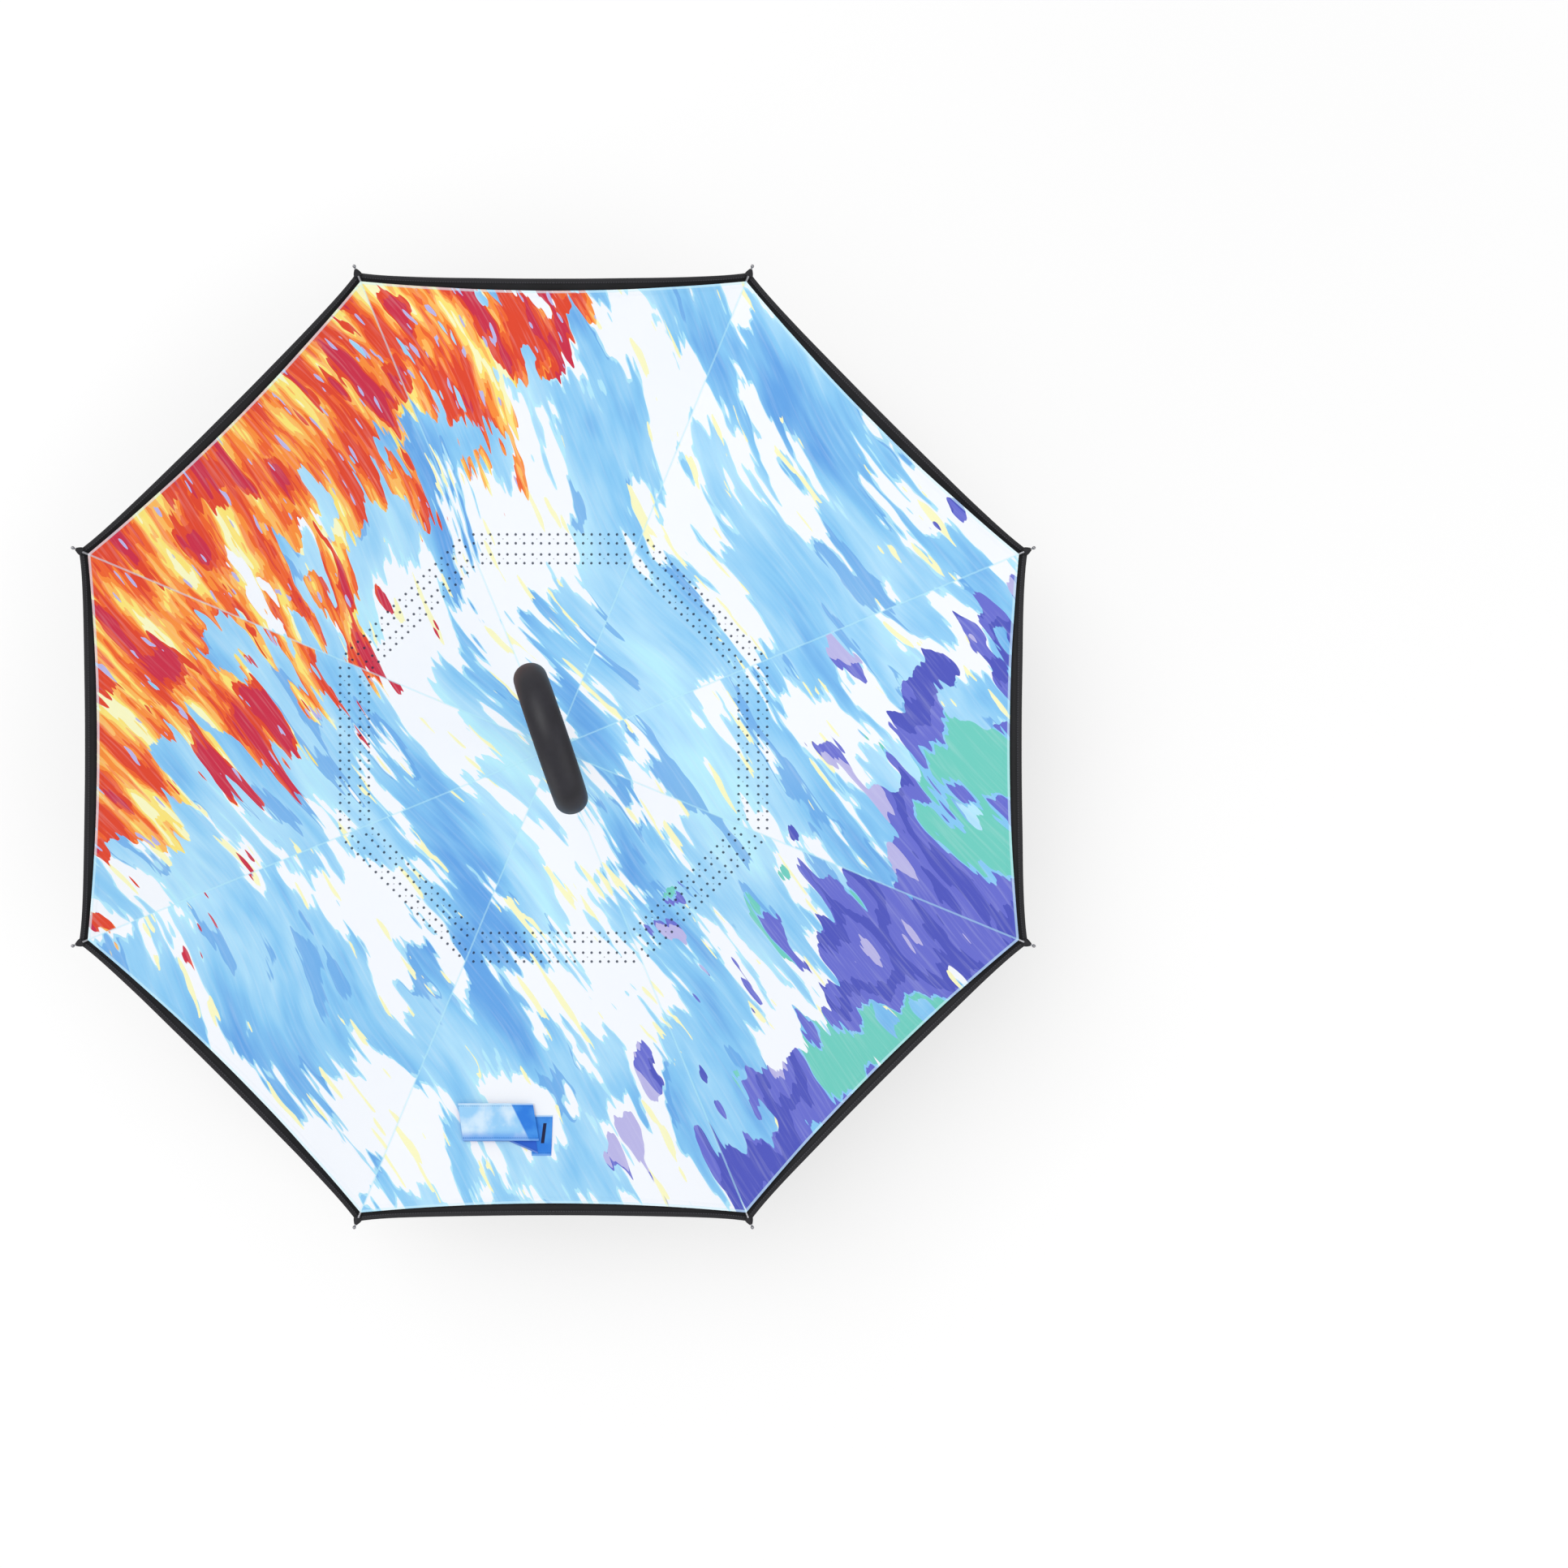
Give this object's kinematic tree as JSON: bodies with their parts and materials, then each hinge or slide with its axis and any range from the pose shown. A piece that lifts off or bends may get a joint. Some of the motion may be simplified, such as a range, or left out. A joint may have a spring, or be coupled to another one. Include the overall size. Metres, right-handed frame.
{
  "type": "inverted umbrella",
  "caption": "Reverse-folding umbrella with a C-shaped handle, sliding runner with a push button, folding ribs and struts, and a two-layer canopy.",
  "frame": {"origin": "shaft axis at the middle of the grip sleeve, where a hand holds it", "axes": "+Z along the shaft from the crown towards the handle; the canopy stands open round it, with ribs at 22.5 degrees and every 45 from there"},
  "size_m": [1.0058, 1.0058, 0.796],
  "materials": {
    "charcoal_plastic": "fine satin moulded grain",
    "black_gloss": "polished moulding",
    "red_plastic": "satin gloss moulding",
    "steel": "plated steel",
    "rib_black": "black coated steel",
    "printed_lining": null,
    "shell_black": "black pongee",
    "strap_blue": "printed pongee, stitched edge"
  },
  "bodies": {
    "root": {"shaft": "steel", "grip_sleeve": "charcoal_plastic", "c_handle": "charcoal_plastic", "crown": "black_gloss", "crown_wire": "steel", "top_catch": "black_gloss", "canopy_cap": "black_gloss", "ferrule": "black_gloss"},
    "runner": {"runner_body": "black_gloss", "bell_collar": "black_gloss", "rib_hub": "black_gloss", "rib_wire": "steel", "button_spring": "steel"},
    "button": {"release_button": "red_plastic"},
    "rib_1": {"rib_1": "rib_black"},
    "strut_1": {"strut_1": "rib_black"},
    "fold_1a": {"lining_1a": "printed_lining", "shell_1": "shell_black"},
    "fold_1b": {"lining_1b": "printed_lining"},
    "rib_2": {"rib_2": "rib_black"},
    "strut_2": {"strut_2": "rib_black"},
    "fold_2a": {"lining_2a": "printed_lining", "shell_2": "shell_black"},
    "fold_2b": {"lining_2b": "printed_lining"},
    "rib_3": {"rib_3": "rib_black"},
    "strut_3": {"strut_3": "rib_black"},
    "fold_3a": {"lining_3a": "printed_lining", "shell_3": "shell_black"},
    "fold_3b": {"lining_3b": "printed_lining"},
    "rib_4": {"rib_4": "rib_black"},
    "strut_4": {"strut_4": "rib_black"},
    "fold_4a": {"lining_4a": "printed_lining", "shell_4": "shell_black"},
    "fold_4b": {"lining_4b": "printed_lining"},
    "rib_5": {"rib_5": "rib_black"},
    "strut_5": {"strut_5": "rib_black"},
    "fold_5a": {"lining_5a": "printed_lining", "shell_5": "shell_black"},
    "fold_5b": {"lining_5b": "printed_lining"},
    "rib_6": {"rib_6": "rib_black"},
    "strut_6": {"strut_6": "rib_black"},
    "fold_6a": {"lining_6a": "printed_lining", "shell_6": "shell_black", "strap": "strap_blue", "strap_tab": "strap_blue"},
    "fold_6b": {"lining_6b": "printed_lining"},
    "rib_7": {"rib_7": "rib_black"},
    "strut_7": {"strut_7": "rib_black"},
    "fold_7a": {"lining_7a": "printed_lining", "shell_7": "shell_black"},
    "fold_7b": {"lining_7b": "printed_lining"},
    "rib_8": {"rib_8": "rib_black"},
    "strut_8": {"strut_8": "rib_black"},
    "fold_8a": {"lining_8a": "printed_lining", "shell_8": "shell_black"},
    "fold_8b": {"lining_8b": "printed_lining"}
  },
  "joints": [
    {"name": "runner_slide", "type": "slide", "parent": "root", "child": "runner", "axis": [0, 0, 1], "range_m": [0, 0.47697], "deforming": ["lining_1a", "shell_1", "lining_1b", "lining_2a", "shell_2", "lining_2b", "lining_3a", "shell_3", "lining_3b", "lining_4a", "shell_4", "lining_4b", "lining_5a", "shell_5", "lining_5b", "lining_6a", "shell_6", "strap", "strap_tab", "lining_6b", "lining_7a", "shell_7", "lining_7b", "lining_8a", "shell_8", "lining_8b"]},
    {"name": "button_press", "type": "slide", "parent": "runner", "child": "button", "axis": [-0.682, 0.7314, 0], "range_m": [0, 0.0016], "stiffness_N_per_m": 800, "springref_m": -0.0025, "deforming": ["button_spring"]},
    {"name": "rib_hinge_1", "type": "hinge", "parent": "runner", "child": "rib_1", "pos_m": [0.01109, 0.00459, -0.55197], "axis": [-0.3827, 0.9239, 0], "range_deg": [-0.01, 96.01]},
    {"name": "strut_hinge_1", "type": "hinge", "parent": "root", "child": "strut_1", "pos_m": [0.01109, 0.00459, -0.57597], "axis": [-0.3827, 0.9239, 0], "range_deg": [-61.17, 0.01]},
    {"name": "fold_hinge_1a", "type": "hinge", "parent": "rib_1", "child": "fold_1a", "pos_m": [0.00918, 0.00918, -0.55197], "axis": [-0.3338, -0.6943, -0.6376], "range_deg": [-0.01, 34.22]},
    {"name": "fold_hinge_1b", "type": "hinge", "parent": "rib_1", "child": "fold_1b", "pos_m": [0.01299, 0, -0.55197], "axis": [0.727, -0.255, 0.6376], "range_deg": [-0.01, 34.22]},
    {"name": "rib_hinge_2", "type": "hinge", "parent": "runner", "child": "rib_2", "pos_m": [0.00459, 0.01109, -0.55197], "axis": [-0.9239, 0.3827, 0], "range_deg": [-0.01, 96.01]},
    {"name": "strut_hinge_2", "type": "hinge", "parent": "root", "child": "strut_2", "pos_m": [0.00459, 0.01109, -0.57597], "axis": [-0.9239, 0.3827, 0], "range_deg": [-61.17, 0.01]},
    {"name": "fold_hinge_2a", "type": "hinge", "parent": "rib_2", "child": "fold_2a", "pos_m": [0, 0.01299, -0.55197], "axis": [0.255, -0.727, -0.6376], "range_deg": [-0.01, 34.22]},
    {"name": "fold_hinge_2b", "type": "hinge", "parent": "rib_2", "child": "fold_2b", "pos_m": [0.00918, 0.00918, -0.55197], "axis": [0.6943, 0.3338, 0.6376], "range_deg": [-0.01, 34.22]},
    {"name": "rib_hinge_3", "type": "hinge", "parent": "runner", "child": "rib_3", "pos_m": [-0.00459, 0.01109, -0.55197], "axis": [-0.9239, -0.3827, 0], "range_deg": [-0.01, 96.01]},
    {"name": "strut_hinge_3", "type": "hinge", "parent": "root", "child": "strut_3", "pos_m": [-0.00459, 0.01109, -0.57597], "axis": [-0.9239, -0.3827, 0], "range_deg": [-61.17, 0.01]},
    {"name": "fold_hinge_3a", "type": "hinge", "parent": "rib_3", "child": "fold_3a", "pos_m": [-0.00918, 0.00918, -0.55197], "axis": [0.6943, -0.3338, -0.6376], "range_deg": [-0.01, 34.22]},
    {"name": "fold_hinge_3b", "type": "hinge", "parent": "rib_3", "child": "fold_3b", "pos_m": [0, 0.01299, -0.55197], "axis": [0.255, 0.727, 0.6376], "range_deg": [-0.01, 34.22]},
    {"name": "rib_hinge_4", "type": "hinge", "parent": "runner", "child": "rib_4", "pos_m": [-0.01109, 0.00459, -0.55197], "axis": [-0.3827, -0.9239, 0], "range_deg": [-0.01, 96.01]},
    {"name": "strut_hinge_4", "type": "hinge", "parent": "root", "child": "strut_4", "pos_m": [-0.01109, 0.00459, -0.57597], "axis": [-0.3827, -0.9239, 0], "range_deg": [-61.17, 0.01]},
    {"name": "fold_hinge_4a", "type": "hinge", "parent": "rib_4", "child": "fold_4a", "pos_m": [-0.01299, 0, -0.55197], "axis": [0.727, 0.255, -0.6376], "range_deg": [-0.01, 34.22]},
    {"name": "fold_hinge_4b", "type": "hinge", "parent": "rib_4", "child": "fold_4b", "pos_m": [-0.00918, 0.00918, -0.55197], "axis": [-0.3338, 0.6943, 0.6376], "range_deg": [-0.01, 34.22]},
    {"name": "rib_hinge_5", "type": "hinge", "parent": "runner", "child": "rib_5", "pos_m": [-0.01109, -0.00459, -0.55197], "axis": [0.3827, -0.9239, 0], "range_deg": [-0.01, 96.01]},
    {"name": "strut_hinge_5", "type": "hinge", "parent": "root", "child": "strut_5", "pos_m": [-0.01109, -0.00459, -0.57597], "axis": [0.3827, -0.9239, 0], "range_deg": [-61.17, 0.01]},
    {"name": "fold_hinge_5a", "type": "hinge", "parent": "rib_5", "child": "fold_5a", "pos_m": [-0.00918, -0.00918, -0.55197], "axis": [0.3338, 0.6943, -0.6376], "range_deg": [-0.01, 34.22]},
    {"name": "fold_hinge_5b", "type": "hinge", "parent": "rib_5", "child": "fold_5b", "pos_m": [-0.01299, 0, -0.55197], "axis": [-0.727, 0.255, 0.6376], "range_deg": [-0.01, 34.22]},
    {"name": "rib_hinge_6", "type": "hinge", "parent": "runner", "child": "rib_6", "pos_m": [-0.00459, -0.01109, -0.55197], "axis": [0.9239, -0.3827, 0], "range_deg": [-0.01, 96.01]},
    {"name": "strut_hinge_6", "type": "hinge", "parent": "root", "child": "strut_6", "pos_m": [-0.00459, -0.01109, -0.57597], "axis": [0.9239, -0.3827, 0], "range_deg": [-61.17, 0.01]},
    {"name": "fold_hinge_6a", "type": "hinge", "parent": "rib_6", "child": "fold_6a", "pos_m": [0, -0.01299, -0.55197], "axis": [-0.255, 0.727, -0.6376], "range_deg": [-0.01, 34.22]},
    {"name": "fold_hinge_6b", "type": "hinge", "parent": "rib_6", "child": "fold_6b", "pos_m": [-0.00918, -0.00918, -0.55197], "axis": [-0.6943, -0.3338, 0.6376], "range_deg": [-0.01, 34.22]},
    {"name": "rib_hinge_7", "type": "hinge", "parent": "runner", "child": "rib_7", "pos_m": [0.00459, -0.01109, -0.55197], "axis": [0.9239, 0.3827, 0], "range_deg": [-0.01, 96.01]},
    {"name": "strut_hinge_7", "type": "hinge", "parent": "root", "child": "strut_7", "pos_m": [0.00459, -0.01109, -0.57597], "axis": [0.9239, 0.3827, 0], "range_deg": [-61.17, 0.01]},
    {"name": "fold_hinge_7a", "type": "hinge", "parent": "rib_7", "child": "fold_7a", "pos_m": [0.00918, -0.00918, -0.55197], "axis": [-0.6943, 0.3338, -0.6376], "range_deg": [-0.01, 34.22]},
    {"name": "fold_hinge_7b", "type": "hinge", "parent": "rib_7", "child": "fold_7b", "pos_m": [0, -0.01299, -0.55197], "axis": [-0.255, -0.727, 0.6376], "range_deg": [-0.01, 34.22]},
    {"name": "rib_hinge_8", "type": "hinge", "parent": "runner", "child": "rib_8", "pos_m": [0.01109, -0.00459, -0.55197], "axis": [0.3827, 0.9239, 0], "range_deg": [-0.01, 96.01]},
    {"name": "strut_hinge_8", "type": "hinge", "parent": "root", "child": "strut_8", "pos_m": [0.01109, -0.00459, -0.57597], "axis": [0.3827, 0.9239, 0], "range_deg": [-61.17, 0.01]},
    {"name": "fold_hinge_8a", "type": "hinge", "parent": "rib_8", "child": "fold_8a", "pos_m": [0.01299, 0, -0.55197], "axis": [-0.727, -0.255, -0.6376], "range_deg": [-0.01, 34.22]},
    {"name": "fold_hinge_8b", "type": "hinge", "parent": "rib_8", "child": "fold_8b", "pos_m": [0.00918, -0.00918, -0.55197], "axis": [0.3338, -0.6943, 0.6376], "range_deg": [-0.01, 34.22]}
  ],
  "couplings": [
    {"joint": "rib_hinge_1", "follows": "runner_slide", "rad_per_m": 3.5128},
    {"joint": "strut_hinge_1", "follows": "runner_slide", "rad_per_m": -2.238},
    {"joint": "fold_hinge_1a", "follows": "runner_slide", "rad_per_m": 1.2518},
    {"joint": "fold_hinge_1b", "follows": "runner_slide", "rad_per_m": 1.2518},
    {"joint": "rib_hinge_2", "follows": "runner_slide", "rad_per_m": 3.5128},
    {"joint": "strut_hinge_2", "follows": "runner_slide", "rad_per_m": -2.238},
    {"joint": "fold_hinge_2a", "follows": "runner_slide", "rad_per_m": 1.2518},
    {"joint": "fold_hinge_2b", "follows": "runner_slide", "rad_per_m": 1.2518},
    {"joint": "rib_hinge_3", "follows": "runner_slide", "rad_per_m": 3.5128},
    {"joint": "strut_hinge_3", "follows": "runner_slide", "rad_per_m": -2.238},
    {"joint": "fold_hinge_3a", "follows": "runner_slide", "rad_per_m": 1.2518},
    {"joint": "fold_hinge_3b", "follows": "runner_slide", "rad_per_m": 1.2518},
    {"joint": "rib_hinge_4", "follows": "runner_slide", "rad_per_m": 3.5128},
    {"joint": "strut_hinge_4", "follows": "runner_slide", "rad_per_m": -2.238},
    {"joint": "fold_hinge_4a", "follows": "runner_slide", "rad_per_m": 1.2518},
    {"joint": "fold_hinge_4b", "follows": "runner_slide", "rad_per_m": 1.2518},
    {"joint": "rib_hinge_5", "follows": "runner_slide", "rad_per_m": 3.5128},
    {"joint": "strut_hinge_5", "follows": "runner_slide", "rad_per_m": -2.238},
    {"joint": "fold_hinge_5a", "follows": "runner_slide", "rad_per_m": 1.2518},
    {"joint": "fold_hinge_5b", "follows": "runner_slide", "rad_per_m": 1.2518},
    {"joint": "rib_hinge_6", "follows": "runner_slide", "rad_per_m": 3.5128},
    {"joint": "strut_hinge_6", "follows": "runner_slide", "rad_per_m": -2.238},
    {"joint": "fold_hinge_6a", "follows": "runner_slide", "rad_per_m": 1.2518},
    {"joint": "fold_hinge_6b", "follows": "runner_slide", "rad_per_m": 1.2518},
    {"joint": "rib_hinge_7", "follows": "runner_slide", "rad_per_m": 3.5128},
    {"joint": "strut_hinge_7", "follows": "runner_slide", "rad_per_m": -2.238},
    {"joint": "fold_hinge_7a", "follows": "runner_slide", "rad_per_m": 1.2518},
    {"joint": "fold_hinge_7b", "follows": "runner_slide", "rad_per_m": 1.2518},
    {"joint": "rib_hinge_8", "follows": "runner_slide", "rad_per_m": 3.5128},
    {"joint": "strut_hinge_8", "follows": "runner_slide", "rad_per_m": -2.238},
    {"joint": "fold_hinge_8a", "follows": "runner_slide", "rad_per_m": 1.2518},
    {"joint": "fold_hinge_8b", "follows": "runner_slide", "rad_per_m": 1.2518}
  ]
}
